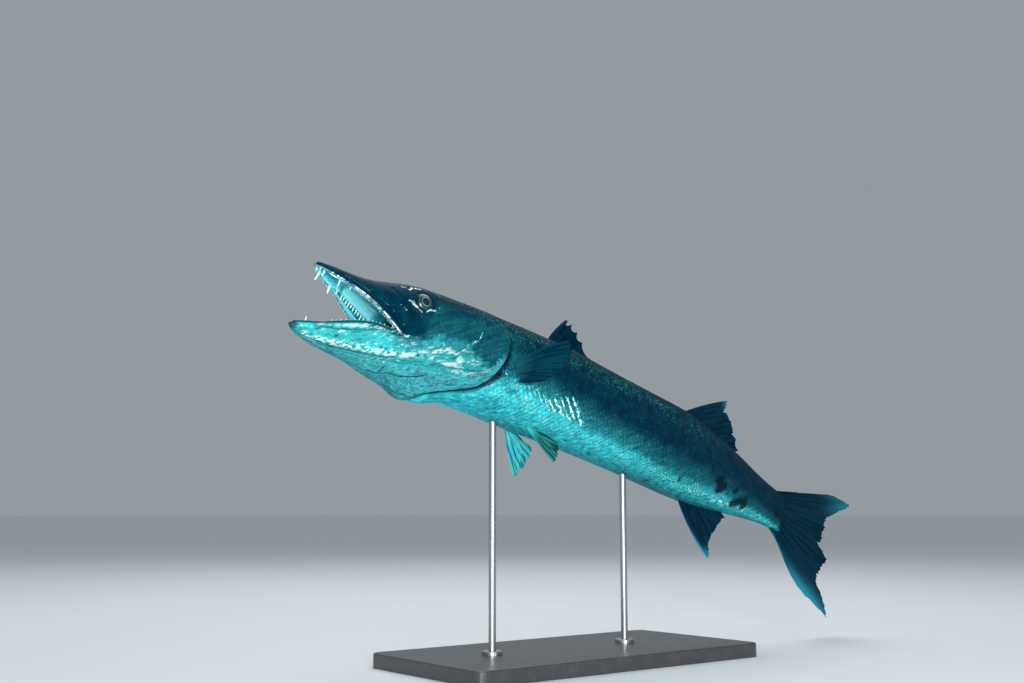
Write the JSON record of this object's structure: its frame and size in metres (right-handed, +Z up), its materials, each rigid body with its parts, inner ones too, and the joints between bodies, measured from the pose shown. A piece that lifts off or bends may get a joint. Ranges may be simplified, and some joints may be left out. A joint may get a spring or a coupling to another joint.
{
  "type": "great barracuda model",
  "caption": "Life-size great barracuda rising with its mouth wide open, still, held over a flat display base by short steel rods.",
  "frame": {"origin": "middle of the underside of the display base, where it rests on the floor", "axes": "+Z up, +X from the head towards the tail, -Y towards the fish's left flank"},
  "size_m": [1.3449, 0.3, 0.6263],
  "materials": {
    "back_skin": "dark blue-green wet skin with small scales",
    "belly_skin": "silver scales, white under the belly",
    "mouth_lining": "pale wet mouth lining with ivory teeth",
    "eye": "dark pupil, grey-gold iris, clear cornea",
    "fin": "dusky membrane over raised rays, pale tips",
    "stand_steel": "brushed",
    "stand_board": "satin dark grey lacquer"
  },
  "bodies": {
    "root": {"snout": "back_skin", "lower_jaw": "belly_skin", "tongue": "mouth_lining", "head": "back_skin", "gill_cover_left": "back_skin", "gill_cover_right": "back_skin", "eye_left": "eye", "eye_right": "eye", "torso_front": "belly_skin", "torso_middle": "belly_skin", "torso_rear": "belly_skin", "tail_stalk": "belly_skin", "dorsal_fin_first": "fin", "dorsal_fin_second": "fin", "anal_fin": "fin", "caudal_fin_upper": "fin", "caudal_fin_lower": "fin", "pectoral_fin_left": "fin", "pectoral_fin_right": "fin", "pelvic_fin_left": "fin", "pelvic_fin_right": "fin", "stand_base": "stand_board", "stand_rod_front": "stand_steel", "stand_rod_rear": "stand_steel"}
  },
  "joints": []
}
